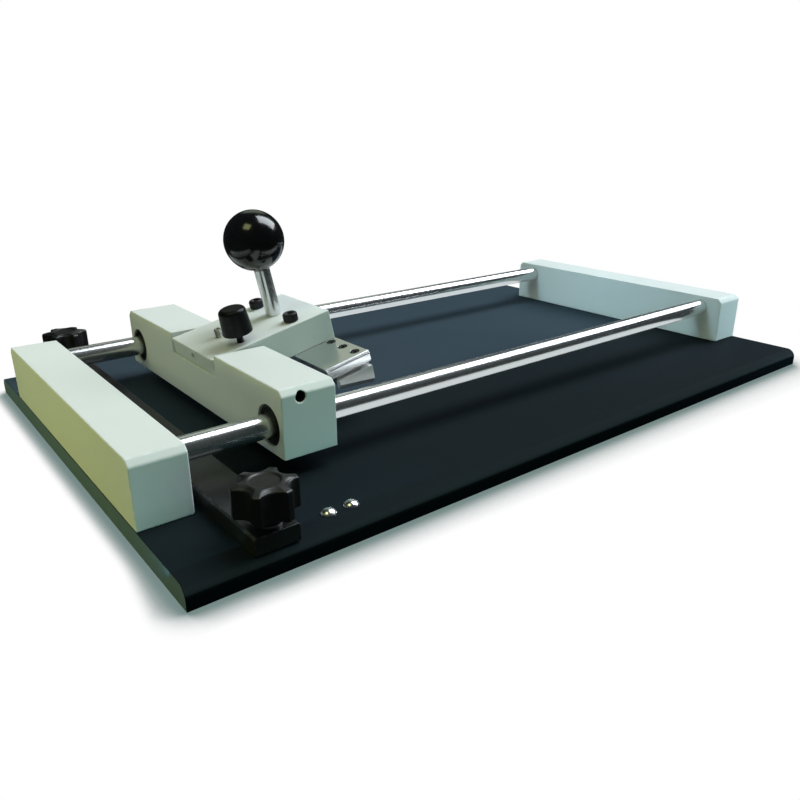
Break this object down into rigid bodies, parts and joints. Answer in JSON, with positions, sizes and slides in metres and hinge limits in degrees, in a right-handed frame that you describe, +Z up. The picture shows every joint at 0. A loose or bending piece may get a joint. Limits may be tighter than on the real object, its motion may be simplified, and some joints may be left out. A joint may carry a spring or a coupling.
{
  "type": "sample cutter",
  "caption": "Bench cutter for sheet samples: a carriage slides on rods over a flat plate, its sprung lever arm lowers the blades, and a bar under star knobs clamps the sheet.",
  "frame": {"origin": "on the table, under the middle of the base plate", "axes": "+X along the rods, away from the clamp bar; +Y to the back; +Z up"},
  "size_m": [0.476, 0.3106, 0.1261],
  "materials": {
    "black_plate": "black anodised, satin",
    "black_bar": "satin black coating",
    "grey_paint": "light grey satin powder coat",
    "rod_chrome": "hard chromed and ground",
    "polished_steel": "ground and polished",
    "zinc_steel": "bright zinc plated",
    "spring_wire": "drawn spring wire",
    "black_oxide": "black oxide, oiled",
    "ball_plastic": "moulded, high gloss",
    "knob_plastic": "moulded, satin",
    "bronze": "sintered, oiled",
    "insert_brass": "turned",
    "seal_rubber": "smooth",
    "foot_rubber": "matte"
  },
  "bodies": {
    "base": {"base_plate": "black_plate", "rubber_feet": "foot_rubber", "stop_studs": "polished_steel", "left_end_block": "grey_paint", "right_end_block": "grey_paint", "front_rod": "rod_chrome", "rear_rod": "rod_chrome", "end_block_screws": "black_oxide", "rod_grub_screws": "black_oxide", "clamp_studs": "zinc_steel", "clamp_springs": "spring_wire"},
    "clamp": {"clamp_bar": "black_bar", "clamp_washers": "zinc_steel"},
    "front_knob": {"front_clamp_knob": "knob_plastic", "front_knob_insert": "insert_brass"},
    "rear_knob": {"rear_clamp_knob": "knob_plastic", "rear_knob_insert": "insert_brass"},
    "carriage": {"carriage_beam": "grey_paint", "front_bearing": "black_oxide", "rear_bearing": "black_oxide", "bearing_seals": "seal_rubber", "bearing_grub_screws": "black_oxide", "pivot_bushes": "bronze", "arm_spring": "spring_wire"},
    "arm": {"lever_arm": "grey_paint", "pivot_pin": "polished_steel", "arm_grub_screw": "black_oxide", "lever_stem": "rod_chrome", "ball_knob": "ball_plastic", "arm_screws": "black_oxide", "spring_screw": "zinc_steel", "holder_plate": "polished_steel", "front_blade_block": "polished_steel", "rear_blade_block": "polished_steel", "front_blade": "polished_steel", "rear_blade": "polished_steel", "holder_screws": "black_oxide", "blade_screws": "black_oxide"},
    "depth_screw": {"depth_screw": "black_oxide"},
    "depth_cap": {"depth_cap": "knob_plastic"}
  },
  "joints": [
    {"name": "carriage_slide", "type": "slide", "parent": "base", "child": "carriage", "axis": [1, 0, 0], "range_m": [-0.045, 0.292]},
    {"name": "arm_pivot", "type": "hinge", "parent": "carriage", "child": "arm", "pos_m": [-0.1544, 0, 0.0518], "axis": [0, 1, 0], "range_deg": [0, 17.25], "stiffness_Nm_per_rad": 2.5, "springref_deg": -22.92, "deforming": ["arm_spring"]},
    {"name": "clamp_lift", "type": "slide", "parent": "base", "child": "clamp", "axis": [0, 0, 1], "range_m": [0, 0.0015], "deforming": ["clamp_springs"]},
    {"name": "front_knob_turn", "type": "hinge", "parent": "clamp", "child": "front_knob", "pos_m": [-0.197, -0.1415, 0.0211], "axis": [0, 0, 1], "range_deg": [0, 545]},
    {"name": "rear_knob_turn", "type": "hinge", "parent": "clamp", "child": "rear_knob", "pos_m": [-0.197, 0.1415, 0.0211], "axis": [0, 0, 1], "range_deg": [0, 545]},
    {"name": "depth_travel", "type": "slide", "parent": "arm", "child": "depth_screw", "axis": [-0.2079, 0, 0.9781], "range_m": [-0.001, 0.001]},
    {"name": "depth_turn", "type": "hinge", "parent": "depth_screw", "child": "depth_cap", "pos_m": [-0.14325, -0.0195, 0.05417], "axis": [-0.2079, 0, 0.9781], "range_deg": [-520, 520]}
  ],
  "couplings": [
    {"joint": "front_knob_turn", "follows": "clamp_lift", "rad_per_m": 6283.2},
    {"joint": "rear_knob_turn", "follows": "clamp_lift", "rad_per_m": 6283.2},
    {"joint": "depth_turn", "follows": "depth_travel", "rad_per_m": 8976}
  ]
}
